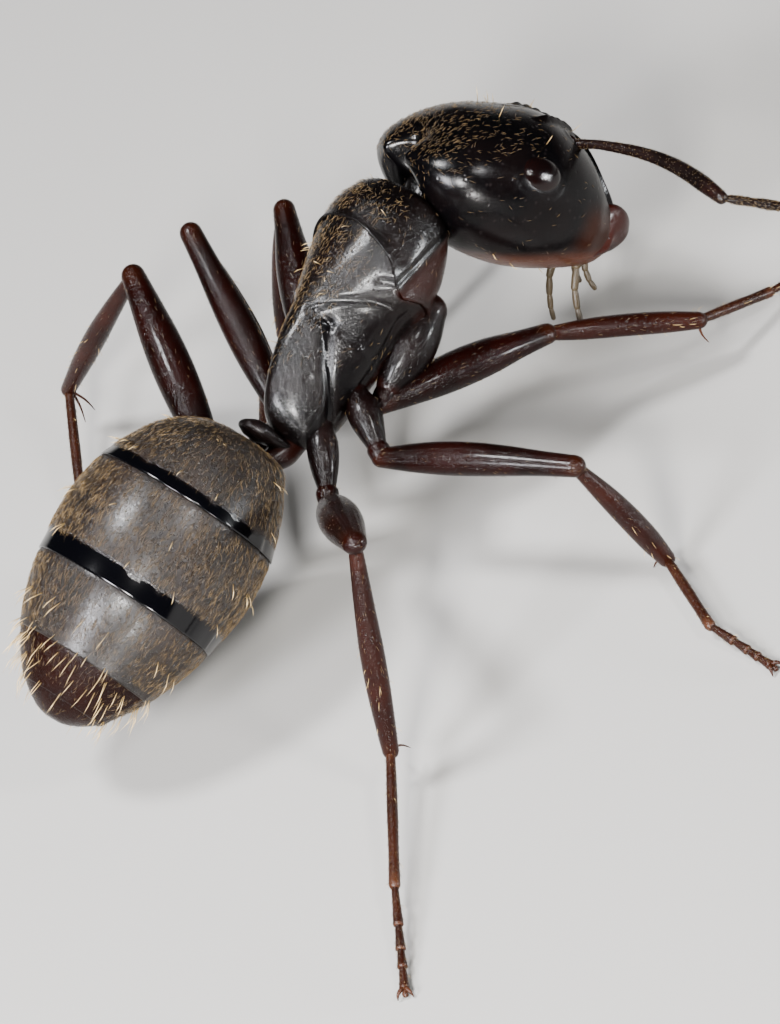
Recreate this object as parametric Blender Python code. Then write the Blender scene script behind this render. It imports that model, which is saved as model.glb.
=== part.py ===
"""A carpenter ant worker, life size, standing still on six feet, as solid pieces of a display model.

Sizes are millimetres, turned into metres where a mesh is made.  +X is the way the ant heads, +Y its
left side, +Z up, and the floor is z = 0.  Each named body part is its own object with its own material.
"""
import math

import bmesh
import bpy
from mathutils import Matrix, Vector

for old in list(bpy.data.objects):
    bpy.data.objects.remove(old, do_unlink=True)

MM = 0.001
GAP = 0.02                      # cut between neighbouring plates
PLACE = Vector((0.568, 0.754, 0.0))   # moves the finished ant so that its box is centred over the origin

# stance of the trunk (mesosoma): heading along +X, nose up, leaning to its left
TRUNK_AT = Vector((0.0, 0.0, 3.2))
TRUNK_PITCH, TRUNK_LEAN = 16.0, 16.0

# trunk plates, along the trunk's own axis: x, half width, back height, belly height
TRUNK = [(-1.74, 0.00, -0.18, -0.18), (-1.70, 0.26, 0.06, -0.44), (-1.55, 0.42, 0.32, -0.64),
         (-1.25, 0.49, 0.52, -0.74), (-0.75, 0.56, 0.70, -0.80), (-0.20, 0.66, 0.77, -0.84),
         (0.30, 0.80, 0.82, -0.86), (0.95, 1.00, 0.91, -0.90), (1.35, 0.95, 0.97, -0.82),
         (1.68, 0.82, 0.88, -0.66), (1.92, 0.56, 0.68, -0.42), (2.02, 0.00, 0.16, 0.16)]
PRONOTUM_CUT = ((0.88, 0.0, 0.00), (0.96, 0.0, -0.27))      # point and normal of the slanting suture
PROPODEUM_CUT = ((-0.10, 0.0, 0.72), (0.70, 0.0, -0.71))

# head, nodded down and turned to the right: x, half width, crown height, throat height
HEAD_AT = Vector((3.01, -0.38, 3.23))
HEAD_YAW, HEAD_PITCH, HEAD_LEAN = -33.4, -45.6, 22.0
HEAD = [(-1.20, 0.00, 0.04, 0.04), (-1.18, 0.52, 0.44, -0.34), (-1.08, 0.94, 0.70, -0.64),
        (-0.84, 1.25, 0.91, -0.87), (-0.40, 1.39, 1.04, -0.99), (0.12, 1.35, 1.11, -1.04),
        (0.55, 1.23, 1.03, -1.00), (0.92, 1.07, 0.84, -0.92), (1.22, 0.93, 0.56, -0.83),
        (1.48, 0.76, 0.30, -0.72), (1.64, 0.50, 0.08, -0.56), (1.69, 0.00, -0.22, -0.22)]
HEAD_LOBE = 0.46                # how far each rear corner of the head stands behind its middle
EYE_AT, EYE_SIZE = Vector((-0.13, -1.20, 0.38)), (0.31, 0.16, 0.24)
MANDIBLE = [(1.22, -0.60, -0.22, 0.28), (1.52, -0.56, -0.08, 0.31), (1.72, -0.37, -0.18, 0.28),
            (1.80, -0.21, -0.36, 0.20)]
PALP_ROOT, PALP_THICK = Vector((1.38, -0.31, -0.56)), 0.46
PALP_LENGTHS = (0.36, 0.40, 0.30)
PALP_LEANS = (-104.0, -76.0, -60.0)     # slope of each length in the head's upright plane

# antennae: socket on the head, then a bowed scape and a drooping whip, headings in floor axes
SOCKET = Vector((0.58, -0.45, 0.86))
SCAPE_LENGTH, WHIP_LENGTH, ANTENNA_THICK = 2.95, 4.0, 0.50
SCAPE_WAY = {"R": (-95.0, 3.0), "L": (88.0, -35.0)}
WHIP_WAY = {"R": (-44.0, -36.0), "L": (180.0, -12.0)}
SCAPE_BOW = 0.22

# waist and gaster: x, half width, back height, belly height, along the gaster's own axis
WAIST_START, WAIST_END = Vector((-1.50, 0.0, -0.36)), Vector((-2.06, 0.0, -0.16))
SCALE_AT, SCALE_SIZE = Vector((-1.87, 0.0, 0.16)), (0.16, 0.34, 0.46)
GASTER_AT = Vector((-4.10, 0.40, 2.26))
GASTER_YAW, GASTER_PITCH, GASTER_LEAN = -6.5, 20.5, 18.0
GASTER = [(-2.34, 0.00, 0.05, 0.05), (-2.30, 0.26, 0.28, -0.18), (-2.10, 0.56, 0.60, -0.50),
          (-1.70, 0.92, 0.94, -0.82), (-1.20, 1.17, 1.20, -1.06), (-0.60, 1.36, 1.38, -1.24),
          (0.20, 1.46, 1.48, -1.36), (0.90, 1.38, 1.40, -1.30), (1.45, 1.16, 1.18, -1.14),
          (1.85, 0.88, 0.88, -0.94), (2.10, 0.52, 0.46, -0.70), (2.19, 0.00, -0.12, -0.12)]
GASTER_CUTS = (0.95, -0.52, -1.50, -2.06)

# legs: hip and end of the trochanter on the trunk, lengths, then headings and slopes in floor axes
LENGTHS = {"fore": (2.65, 2.15, 1.33, 1.30), "mid": (2.88, 2.08, 1.50, 1.20),
           "hind": (3.27, 3.12, 2.15, 1.70)}
HIPS = {"fore_R": ((0.80, -0.46, -0.76), (-0.66, -0.44, -0.88)),
        "mid_R": ((-0.72, -0.42, -0.50), (-1.34, -1.00, -0.98)),
        "hind_R": ((-1.36, -0.30, -0.36), (-2.22, -0.75, -0.80)),
        "fore_L": ((0.80, 0.46, -0.76), (-0.35, 1.35, -0.95)),
        "mid_L": ((-0.72, 0.42, -0.50), (-1.15, 1.12, -0.66)),
        "hind_L": ((-1.36, 0.34, -0.36), (-2.35, 1.30, -0.45))}
WAYS = {"fore_R": ((-17.5, -13.5), (-34.5, -23.0), (-6.5, -23.0), (-12.0, 0.0)),
        "mid_R": ((-72.5, 1.0), (-48.0, -71.0), (-119.0, -2.0), (-98.0, 0.0)),
        "hind_R": ((-121.5, 29.5), (-172.5, -73.5), (-141.0, -8.0), (-138.5, 0.0)),
        "fore_L": ((44.5, 21.5), (142.0, -71.5), (4.5, -19.0), (4.5, 0.0)),
        "mid_L": ((60.0, 35.0), (-103.5, -71.0), (105.5, -69.5), (-175.0, 0.0)),
        "hind_L": ((56.0, 27.5), (105.0, -50.0), (-137.5, -15.0), (-126.5, 0.0))}
FOOT_HEIGHT = 0.12              # centre line of each foot's tip; the floor shaves its sole flat
COXA_RADII = {"fore": (0.28, 0.33, 0.24), "mid": (0.24, 0.26, 0.20), "hind": (0.22, 0.24, 0.19)}
FEMUR_RADII = (0.25, 0.27, 0.26, 0.25)
TIBIA_RADII = (0.25, 0.26, 0.25, 0.25)
TARSUS_RADII = (0.25, 0.25, 0.25)
SIDES = 10

COLOURS = {"shell": (0.012, 0.011, 0.013), "eye": (0.020, 0.008, 0.006), "leg": (0.030, 0.010, 0.006),
           "tarsus": (0.060, 0.020, 0.010), "gaster": (0.020, 0.017, 0.012), "jaw": (0.070, 0.018, 0.008)}

part_parts = bpy.data.collections.new("carpenter_ant")
cutters = bpy.data.collections.new("cutters")
for made in (part_parts, cutters):
    bpy.context.scene.collection.children.link(made)


def frame(yaw, pitch, lean):
    """Axes of a body part: turned left by yaw, nose raised by pitch, then leaning to its left."""
    return (Matrix.Rotation(math.radians(yaw), 3, "Z") @ Matrix.Rotation(math.radians(-pitch), 3, "Y")
            @ Matrix.Rotation(math.radians(-lean), 3, "X"))


TRUNK_AXES = frame(0.0, TRUNK_PITCH, TRUNK_LEAN)
HEAD_AXES = frame(HEAD_YAW, HEAD_PITCH, HEAD_LEAN)
GASTER_AXES = frame(GASTER_YAW, GASTER_PITCH, GASTER_LEAN)


def on_trunk(point):
    return TRUNK_AT + TRUNK_AXES @ Vector(point)


def on_head(point):
    return HEAD_AT + HEAD_AXES @ Vector(point)


def on_gaster(point):
    return GASTER_AT + GASTER_AXES @ Vector(point)


def heading(way):
    """Unit vector from a heading and a slope in degrees."""
    turn, slope = math.radians(way[0]), math.radians(way[1])
    return Vector((math.cos(slope) * math.cos(turn), math.cos(slope) * math.sin(turn), math.sin(slope)))


def material(name, colour):
    mat = bpy.data.materials.new(name)
    mat.use_nodes = True
    shader = mat.node_tree.nodes["Principled BSDF"]
    shader.inputs["Base Color"].default_value = (*colour, 1.0)
    shader.inputs["Roughness"].default_value = 0.3
    return mat


def add_object(name, bm, colour, hidden=False):
    """Turn a finished bmesh in millimetres into a smooth-shaded object in metres."""
    bmesh.ops.transform(bm, matrix=Matrix.Scale(MM, 4) @ Matrix.Translation(PLACE), verts=bm.verts)
    bmesh.ops.recalc_face_normals(bm, faces=bm.faces)
    mesh = bpy.data.meshes.new(name)
    bm.to_mesh(mesh)
    bm.free()
    mesh.shade_smooth()
    ob = bpy.data.objects.new(name, mesh)
    (cutters if hidden else part_parts).objects.link(ob)
    if hidden:
        ob.hide_render = True
        ob.display_type = "WIRE"
    else:
        mesh.materials.append(material(name, COLOURS[colour]))
    return ob


def skin_rings(rings):
    """Closed tube over rings of equal length; its first and last rings shrink to one point each."""
    bm = bmesh.new()
    rows = [[bm.verts.new(p) for p in ring] for ring in rings]
    for near, far in zip(rows, rows[1:]):
        count = max(len(near), len(far))
        for i in range(count):
            j = (i + 1) % count
            corners = [near[i % len(near)], near[j % len(near)], far[j % len(far)], far[i % len(far)]]
            seen = []
            for corner in corners:
                if corner not in seen:
                    seen.append(corner)
            bm.faces.new(seen)
    return bm


def spline(rows, steps):
    """Smooth curve through rows of numbers, with `steps` stations for each span."""
    out = []
    for k in range(len(rows) - 1):
        a, b = rows[max(k - 1, 0)], rows[k]
        c, d = rows[k + 1], rows[min(k + 2, len(rows) - 1)]
        for step in range(steps):
            t = step / steps
            out.append([0.5 * (2 * q + (r - p) * t + (2 * p - 5 * q + 4 * r - s) * t * t
                               + (3 * q - p - 3 * r + s) * t ** 3) for p, q, r, s in zip(a, b, c, d)])
    out.append(list(rows[-1]))
    return out


def body_mesh(rows, place, sides, steps, grow=0.0, lobe=0.0):
    """Round body over stations of x, half width, top and bottom; grow swells it for a cutter."""
    stations = spline(rows, steps)
    low, high = stations[0][0], stations[-1][0]
    rings = []
    for k, (x, wide, top, bottom) in enumerate(stations):
        middle = 0.5 * (top + bottom)
        if k in (0, len(stations) - 1):
            rings.append([place((x + (grow if k else -grow), 0.0, middle))])
            continue
        x += grow * (2.0 * (x - low) / (high - low) - 1.0)
        back = lobe * max(0.0, 1.0 - (x - low) / 0.9) ** 1.5
        ring = []
        for i in range(sides):
            a = 2.0 * math.pi * i / sides
            y = (wide + grow) * math.cos(a)
            z = middle + (0.5 * (top - bottom) + grow) * math.sin(a)
            ring.append(place((x - back * (y / max(wide, 0.3)) ** 2, y, z)))
        rings.append(ring)
    return skin_rings(rings)


def tube_mesh(points, radii, sides=SIDES, caps=2, grow=0.0):
    """Round-ended tube along points, with a radius at each."""
    points = [Vector(p) for p in points]
    ways = [(b - a).normalized() for a, b in zip(points, points[1:])]
    tangents = [ways[0]] + [(a + b).normalized() for a, b in zip(ways, ways[1:])] + [ways[-1]]
    side = tangents[0].orthogonal().normalized()
    rings = []

    def ring(centre, way, radius):
        nonlocal side
        side = (side - way * side.dot(way)).normalized()
        other = way.cross(side)
        rings.append([centre + radius * (math.cos(2 * math.pi * i / sides) * side
                                         + math.sin(2 * math.pi * i / sides) * other) for i in range(sides)])

    first, last = radii[0] + grow, radii[-1] + grow
    rings.append([points[0] - tangents[0] * first])
    for k in range(caps, 0, -1):
        a = 0.5 * math.pi * k / (caps + 1)
        ring(points[0] - tangents[0] * first * math.sin(a), tangents[0], first * math.cos(a))
    for point, way, radius in zip(points, tangents, radii):
        ring(point, way, radius + grow)
    for k in range(1, caps + 1):
        a = 0.5 * math.pi * k / (caps + 1)
        ring(points[-1] + tangents[-1] * last * math.sin(a), tangents[-1], last * math.cos(a))
    rings.append([points[-1] + tangents[-1] * last])
    return skin_rings(rings)


def slice_off(bm, point, normal):
    """Cut away all that lies beyond a plane, half a gap short of it, and close the cut."""
    normal = Vector(normal).normalized()
    cut = bmesh.ops.bisect_plane(bm, geom=bm.verts[:] + bm.edges[:] + bm.faces[:], dist=1e-6,
                                 plane_co=Vector(point) - normal * 0.5 * GAP, plane_no=normal,
                                 clear_outer=True, clear_inner=False)
    rim = [e for e in cut["geom_cut"] if isinstance(e, bmesh.types.BMEdge) and e.is_valid and e.is_boundary]
    if rim:
        bmesh.ops.holes_fill(bm, edges=rim, sides=0)


def along(start, end, radii):
    """Evenly spaced points and their radii for a straight limb piece."""
    start, end = Vector(start), Vector(end)
    count = len(radii) - 1
    return [start.lerp(end, k / count) for k in range(count + 1)], list(radii)


def carve(ob, *tools):
    for tool in tools:
        cut = ob.modifiers.new("cut_" + tool.name, "BOOLEAN")
        cut.operation, cut.solver, cut.object = "DIFFERENCE", "EXACT", tool


def miter(before, joint, after):
    """Normal of the plane that halves a joint, pointing from the first piece to the second."""
    return ((Vector(joint) - Vector(before)).normalized() + (Vector(after) - Vector(joint)).normalized())


# ---- trunk: pronotum, mesothorax and propodeum, parted by slanting sutures
head_tool = add_object("tool_head", body_mesh(HEAD, on_head, 24, 2, GAP, HEAD_LOBE), "shell", hidden=True)
trunk_tool = add_object("tool_trunk", body_mesh(TRUNK, on_trunk, 20, 2, GAP), "shell", hidden=True)
suture_a = (on_trunk(PRONOTUM_CUT[0]), TRUNK_AXES @ Vector(PRONOTUM_CUT[1]))
suture_b = (on_trunk(PROPODEUM_CUT[0]), TRUNK_AXES @ Vector(PROPODEUM_CUT[1]))
for name, cuts in (("pronotum", ((suture_a[0], -suture_a[1]),)),
                   ("mesothorax", (suture_a, (suture_b[0], -suture_b[1]))),
                   ("propodeum", (suture_b,))):
    bm = body_mesh(TRUNK, on_trunk, 20, 2)
    for point, normal in cuts:
        slice_off(bm, point, normal)
    plate = add_object(name, bm, "shell")
    if name == "pronotum":
        carve(plate, head_tool)

# ---- head with eyes, jaws and palps
add_object("head", body_mesh(HEAD, on_head, 24, 2, lobe=HEAD_LOBE), "shell")
for mark, side in (("R", 1.0), ("L", -1.0)):
    flip = Matrix.Diagonal((1.0, side, 1.0))
    bm = bmesh.new()
    bmesh.ops.create_uvsphere(bm, u_segments=18, v_segments=12, radius=1.0)
    tilt = Matrix.Rotation(math.radians(-28.0 * side), 4, "X") @ Matrix.Rotation(math.radians(14.0), 4, "Y")
    seat = Matrix.Translation(flip @ EYE_AT) @ tilt @ Matrix.Diagonal((*EYE_SIZE, 1.0))
    bmesh.ops.transform(bm, matrix=Matrix.Translation(HEAD_AT) @ HEAD_AXES.to_4x4() @ seat, verts=bm.verts)
    carve(add_object("eye_" + mark, bm, "eye"), head_tool)

    jaw = [on_head(flip @ Vector(row[:3])) for row in MANDIBLE]
    bm = tube_mesh(jaw, [row[3] for row in MANDIBLE], sides=12)
    slice_off(bm, on_head((0.0, 0.0, 0.0)), HEAD_AXES @ Vector((0.0, side, 0.0)))
    carve(add_object("mandible_" + mark, bm, "jaw"), head_tool)

    path = [flip @ PALP_ROOT]
    for length, slope in zip(PALP_LENGTHS, PALP_LEANS):
        way = Vector((math.cos(math.radians(slope)), -0.14 * side, math.sin(math.radians(slope))))
        path.append(path[-1] + way.normalized() * length)
    bm = tube_mesh([on_head(p) for p in path], [0.5 * PALP_THICK] * 4, sides=8)
    carve(add_object("palp_" + mark, bm, "tarsus"), head_tool)

    root = on_head(flip @ SOCKET)
    elbow = root + heading(SCAPE_WAY[mark]) * SCAPE_LENGTH
    crown = (HEAD_AXES @ Vector((0.55, 0.0, 1.0))).normalized()
    bow = [root.lerp(elbow, k / 6) + crown * SCAPE_BOW * math.sin(math.pi * k / 6) for k in range(7)]
    tip = elbow + heading(WHIP_WAY[mark]) * WHIP_LENGTH
    half = 0.5 * ANTENNA_THICK
    bend = miter(bow[-2], elbow, tip)
    bm = tube_mesh(bow, [half] * 7)
    slice_off(bm, elbow, bend)
    carve(add_object("scape_" + mark, bm, "leg"), head_tool)
    bm = tube_mesh(*along(elbow, tip, [half] * 3))
    slice_off(bm, elbow, -bend)
    add_object("funiculus_" + mark, bm, "tarsus")

# ---- neck, waist with its upright scale, and gaster
bm = tube_mesh([on_trunk((1.50, 0.0, -0.20)), on_head((-0.85, 0.0, -0.34))], [0.40, 0.36], sides=14)
carve(add_object("neck", bm, "shell"), trunk_tool, head_tool)

gaster_tool = add_object("tool_gaster", body_mesh(GASTER, on_gaster, 28, 2, GAP), "gaster", hidden=True)
scale_ball = bmesh.new()
bmesh.ops.create_uvsphere(scale_ball, u_segments=16, v_segments=12, radius=1.0)
seat = Matrix.Translation(SCALE_AT) @ Matrix.Rotation(math.radians(-8.0), 4, "Y")
bmesh.ops.transform(scale_ball, matrix=Matrix.Translation(TRUNK_AT) @ TRUNK_AXES.to_4x4() @ seat
                    @ Matrix.Diagonal((*SCALE_SIZE, 1.0)), verts=scale_ball.verts)
scale_tool = add_object("tool_scale", scale_ball, "shell", hidden=True)
petiole = add_object("petiole", tube_mesh(*along(on_trunk(WAIST_START), on_trunk(WAIST_END), [0.20] * 3),
                                          sides=12), "leg")
join = petiole.modifiers.new("scale", "BOOLEAN")
join.operation, join.solver, join.object = "UNION", "EXACT", scale_tool
carve(petiole, trunk_tool, gaster_tool)

edges = (9.0,) + GASTER_CUTS + (-9.0,)
for k in range(5):
    bm = body_mesh(GASTER, on_gaster, 28, 2)
    if k > 0:
        slice_off(bm, on_gaster((edges[k], 0.0, 0.0)), GASTER_AXES @ Vector((1.0, 0.0, 0.0)))
    if k < 4:
        slice_off(bm, on_gaster((edges[k + 1], 0.0, 0.0)), GASTER_AXES @ Vector((-1.0, 0.0, 0.0)))
    add_object("gaster_%d" % (k + 1), bm, "gaster")

# ---- six legs, each joint halved by a plane, each foot shaved flat by the floor
for leg, ways in WAYS.items():
    pair = leg.split("_")[0]
    lengths = LENGTHS[pair]
    hip, knuckle = (on_trunk(p) for p in HIPS[leg])
    joints = [hip, hip.lerp(knuckle, 0.78), knuckle]
    for length, way in zip(lengths[:3], ways[:3]):
        joints.append(joints[-1] + heading(way) * length)
    drop = math.degrees(math.asin((FOOT_HEIGHT - joints[-1].z) / lengths[3]))
    joints.append(joints[-1] + heading((ways[3][0], drop)) * lengths[3])
    names = ("coxa", "trochanter", "femur", "tibia", "basitarsus", "tarsus")
    shapes = (COXA_RADII[pair], (0.24, 0.25), FEMUR_RADII, TIBIA_RADII, TARSUS_RADII, TARSUS_RADII)
    for k, (piece, radii) in enumerate(zip(names, shapes)):
        bm = tube_mesh(*along(joints[k], joints[k + 1], radii))
        if k > 0:
            slice_off(bm, joints[k], -miter(joints[k - 1], joints[k], joints[k + 1]))
        if k < 5:
            slice_off(bm, joints[k + 1], miter(joints[k], joints[k + 1], joints[k + 2]))
        slice_off(bm, (0.0, 0.0, -0.5 * GAP), (0.0, 0.0, -1.0))
        ob = add_object("%s_%s" % (piece, leg), bm, "tarsus" if k > 3 else "leg")
        if k == 0:
            carve(ob, trunk_tool)
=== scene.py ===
"""A carpenter ant worker, life size, dressed plate by plate over its solids.

Lengths in the modelling are millimetres and become metres when a piece is finished.  +X is the way
the ant heads, +Y its left side, +Z up, and the floor is z = 0.  Stances and rows are the solids' own.
"""
import math

import bmesh
import bpy
import numpy as np
from mathutils import Matrix, Vector


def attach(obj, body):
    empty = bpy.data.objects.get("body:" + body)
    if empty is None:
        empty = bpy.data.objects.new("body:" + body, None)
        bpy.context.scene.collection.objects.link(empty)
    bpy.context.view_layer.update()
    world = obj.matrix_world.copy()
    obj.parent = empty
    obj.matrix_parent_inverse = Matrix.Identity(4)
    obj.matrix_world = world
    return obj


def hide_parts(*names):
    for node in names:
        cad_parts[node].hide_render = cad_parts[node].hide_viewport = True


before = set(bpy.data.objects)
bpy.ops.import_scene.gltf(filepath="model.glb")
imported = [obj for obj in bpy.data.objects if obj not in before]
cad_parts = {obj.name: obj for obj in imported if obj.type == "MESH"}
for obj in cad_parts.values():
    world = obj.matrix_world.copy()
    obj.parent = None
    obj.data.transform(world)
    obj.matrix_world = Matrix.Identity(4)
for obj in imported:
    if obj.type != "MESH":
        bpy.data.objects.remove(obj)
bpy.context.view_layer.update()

MM = 0.001
PLACE = np.array((0.568, 0.754, 0.0))       # where the ant's own origin stands on the floor
SIDES = (("R", -1.0), ("L", 1.0))
UP = np.array((0.0, 0.0, 1.0))

# ---------------- body plates: stances and rows
TRUNK_AT, TRUNK_TURN = (0.0, 0.0, 3.2), (0.0, 16.0, 16.0)
TRUNK = [(-1.74, 0.00, -0.18, -0.18), (-1.70, 0.26, 0.06, -0.44), (-1.55, 0.42, 0.32, -0.64),
         (-1.25, 0.49, 0.52, -0.74), (-0.75, 0.56, 0.70, -0.80), (-0.20, 0.66, 0.77, -0.84),
         (0.30, 0.80, 0.82, -0.86), (0.95, 1.00, 0.91, -0.90), (1.35, 0.95, 0.97, -0.82),
         (1.68, 0.82, 0.88, -0.66), (1.92, 0.56, 0.68, -0.42), (2.02, 0.00, 0.16, 0.16)]
PRONOTUM_CUT = ((0.88, 0.0, 0.00), (0.96, 0.0, -0.27))
PROPODEUM_CUT = ((-0.10, 0.0, 0.72), (0.70, 0.0, -0.71))

HEAD_AT, HEAD_TURN = (3.01, -0.38, 3.23), (-33.4, -45.6, 22.0)
HEAD = [(-1.20, 0.00, 0.04, 0.04), (-1.18, 0.52, 0.44, -0.34), (-1.08, 0.94, 0.70, -0.64),
        (-0.84, 1.25, 0.91, -0.87), (-0.40, 1.39, 1.04, -0.99), (0.12, 1.35, 1.11, -1.04),
        (0.55, 1.23, 1.03, -1.00), (0.92, 1.07, 0.84, -0.92), (1.22, 0.93, 0.56, -0.83),
        (1.48, 0.76, 0.30, -0.72), (1.64, 0.50, 0.08, -0.56), (1.69, 0.00, -0.22, -0.22)]
HEAD_LOBE = 0.46
EYE_AT, EYE_DRAWN = (-0.13, 1.20, 0.38), (0.341, 0.16, 0.2544)     # half sizes, a little over the solid's
EYE_TILT, EYE_PITCH = 28.0, -8.0
SOCKET = (0.58, 0.45, 0.86)
JAW_BLADE = [(1.20, 0.64, -0.24), (1.46, 0.60, -0.10), (1.66, 0.42, -0.20), (1.76, 0.19, -0.40)]
JAW_RADII, TEETH = (0.34, 0.33, 0.27, 0.15), 5
# root, lengths, slopes and half thickness of the long palp and of the short one behind it
PALPS = (((1.40, 0.31, -0.56), (0.20, 0.30, 0.26, 0.22, 0.18), (-112, -80, -66, -60, -52), 0.062),
         ((1.50, 0.16, -0.62), (0.16, 0.16, 0.14), (-70, -52, -38), 0.048))

GASTER_AT, GASTER_TURN = (-4.10, 0.40, 2.26), (-6.5, 20.5, 18.0)
GASTER = [(-2.34, 0.00, 0.05, 0.05), (-2.30, 0.26, 0.28, -0.18), (-2.10, 0.56, 0.60, -0.50),
          (-1.70, 0.92, 0.94, -0.82), (-1.20, 1.17, 1.20, -1.06), (-0.60, 1.36, 1.38, -1.24),
          (0.20, 1.46, 1.48, -1.36), (0.90, 1.38, 1.40, -1.30), (1.45, 1.16, 1.18, -1.14),
          (1.85, 0.88, 0.88, -0.94), (2.10, 0.52, 0.46, -0.70), (2.19, 0.00, -0.12, -0.12)]
GASTER_CUTS = (2.40, 0.95, -0.52, -1.50, -2.06, -2.60)
BANDS = (0.17, 0.27, -0.05, -0.05, -0.05)   # bare glossy width before each back plate's rear edge

SCAPE_LENGTH, SCAPE_BOW, WHIP_LENGTH, WHIP_BOW = 2.95, 0.22, 4.0, 0.10
SCAPE_RADII = (0.074, 0.064, 0.072, 0.082, 0.092, 0.102, 0.110, 0.112, 0.090)
WHIP_BEADS, FIRST_BEAD = 11, 0.44
SCAPE_WAY = {"R": (-95.0, 3.0), "L": (88.0, -35.0)}
WHIP_WAY = {"R": (-44.0, -36.0), "L": (180.0, -12.0)}

# lengths of femur, tibia, first foot length and foot, the trunk's points for each hip and knuckle, and
# the heading and slope of each length, but for the foot's slope, which the floor gives
LENGTHS = {"fore": (2.65, 2.15, 1.33, 1.30), "mid": (2.88, 2.08, 1.50, 1.20),
           "hind": (3.27, 3.12, 2.15, 1.70)}
HIPS = {"fore_R": ((0.80, -0.46, -0.76), (-0.66, -0.44, -0.88)),
        "mid_R": ((-0.72, -0.42, -0.50), (-1.34, -1.00, -0.98)),
        "hind_R": ((-1.36, -0.30, -0.36), (-2.22, -0.75, -0.80)),
        "fore_L": ((0.80, 0.46, -0.76), (-0.35, 1.35, -0.95)),
        "mid_L": ((-0.72, 0.42, -0.50), (-1.15, 1.12, -0.66)),
        "hind_L": ((-1.36, 0.34, -0.36), (-2.35, 1.30, -0.45))}
WAYS = {"fore_R": ((-17.5, -13.5), (-34.5, -23.0), (-6.5, -23.0), -12.0),
        "mid_R": ((-72.5, 1.0), (-48.0, -71.0), (-119.0, -2.0), -98.0),
        "hind_R": ((-121.5, 29.5), (-172.5, -73.5), (-141.0, -8.0), -138.5),
        "fore_L": ((44.5, 21.5), (142.0, -71.5), (4.5, -19.0), 4.5),
        "mid_L": ((60.0, 35.0), (-103.5, -71.0), (105.5, -69.5), -175.0),
        "hind_L": ((56.0, 27.5), (105.0, -50.0), (-137.5, -15.0), -126.5)}
COXA_RADII = {"fore": (0.25, 0.33, 0.35, 0.29, 0.18), "mid": (0.16, 0.22, 0.23, 0.19, 0.14),
              "hind": (0.17, 0.21, 0.21, 0.18, 0.13)}
TROCHANTER_RADII = (0.12, 0.155, 0.15, 0.13)
FEMUR_RADII = {"fore": (0.13, 0.20, 0.26, 0.28, 0.26, 0.20, 0.155),
               "mid": (0.14, 0.20, 0.235, 0.235, 0.21, 0.175, 0.155),
               "hind": (0.13, 0.20, 0.26, 0.285, 0.27, 0.22, 0.165)}
TIBIA_RADII = {"fore": (0.095, 0.135, 0.155, 0.16, 0.16, 0.15, 0.125),
               "mid": (0.09, 0.12, 0.15, 0.165, 0.17, 0.16, 0.125),
               "hind": (0.09, 0.12, 0.145, 0.165, 0.165, 0.145, 0.115)}
BASITARSUS_RADII = (0.062, 0.070, 0.074, 0.070, 0.078)
TARSUS_RADII = (0.046, 0.056, 0.070)        # of each flared length
TARSUS_CUTS = (0.0, 0.36, 0.58, 0.74, 0.93)
SPUR_LENGTHS = {"fore": 0.30, "mid": 0.32, "hind": 0.46}
COXA_SHARE = 0.78               # of the way from hip to knuckle, which is where the coxa ends
FOOT_LOW = 0.062                # height of the centre line under the claws


# ---------------- ways of placing things
def turned(yaw, pitch, lean):
    """Axes of a body part: turned left by yaw, nose raised by pitch, then leaning to its left."""
    return np.array(Matrix.Rotation(math.radians(yaw), 3, "Z")
                    @ Matrix.Rotation(math.radians(-pitch), 3, "Y")
                    @ Matrix.Rotation(math.radians(-lean), 3, "X"))


TRUNK_AXES, HEAD_AXES, GASTER_AXES = (turned(*turn) for turn in (TRUNK_TURN, HEAD_TURN, GASTER_TURN))


def onto(at, axes):
    """Places a body part's own points on the floor's axes."""
    return lambda points: at + PLACE + np.asarray(points, float) @ axes.T


on_trunk, on_head = onto(TRUNK_AT, TRUNK_AXES), onto(HEAD_AT, HEAD_AXES)
on_gaster = onto(GASTER_AT, GASTER_AXES)


def heading(way):
    """Unit vector from a heading and a slope in degrees."""
    turn, slope = np.radians(way)
    level = math.cos(slope)
    return np.array((level * math.cos(turn), level * math.sin(turn), math.sin(slope)))


def facing(at, way):
    """Matrix that puts a thing at a place, its Z along a way."""
    return Matrix.Translation(Vector(at)) @ Vector(way).to_track_quat("Z", "Y").to_matrix().to_4x4()


def unit(vectors):
    vectors = np.asarray(vectors, float)
    return vectors / np.maximum(np.linalg.norm(vectors, axis=-1, keepdims=True), 1e-12)


def outward(y, z):
    """Away from a body part's long axis."""
    return unit(np.stack((0.0 * y, y, z), axis=1))


def bell(distance, width):
    """1 at no distance, fading to nothing over the width."""
    return np.exp(-(distance / width) ** 2)


def step(value, start, end):
    """Smooth rise from 0 at start to 1 at end."""
    t = np.clip((value - start) / (end - start), 0.0, 1.0)
    return t * t * (3.0 - 2.0 * t)


def fall(value, start, end):
    """Smooth fall from 1 at start to 0 at end."""
    return 1.0 - step(value, start, end)


def curve(rows, place):
    """Smooth curve through rows of numbers, read at places from 0 to the last row."""
    rows = np.asarray(rows, float)
    last = len(rows) - 1
    place = np.clip(place, 0.0, last)
    k = np.minimum(place.astype(int), last - 1)
    t = (place - k)[:, None]
    p, q, r, s = rows[np.maximum(k - 1, 0)], rows[k], rows[k + 1], rows[np.minimum(k + 2, last)]
    return 0.5 * (2 * q + (r - p) * t + (2 * p - 5 * q + 4 * r - s) * t * t
                  + (3 * q - p - 3 * r + s) * t ** 3)


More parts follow.
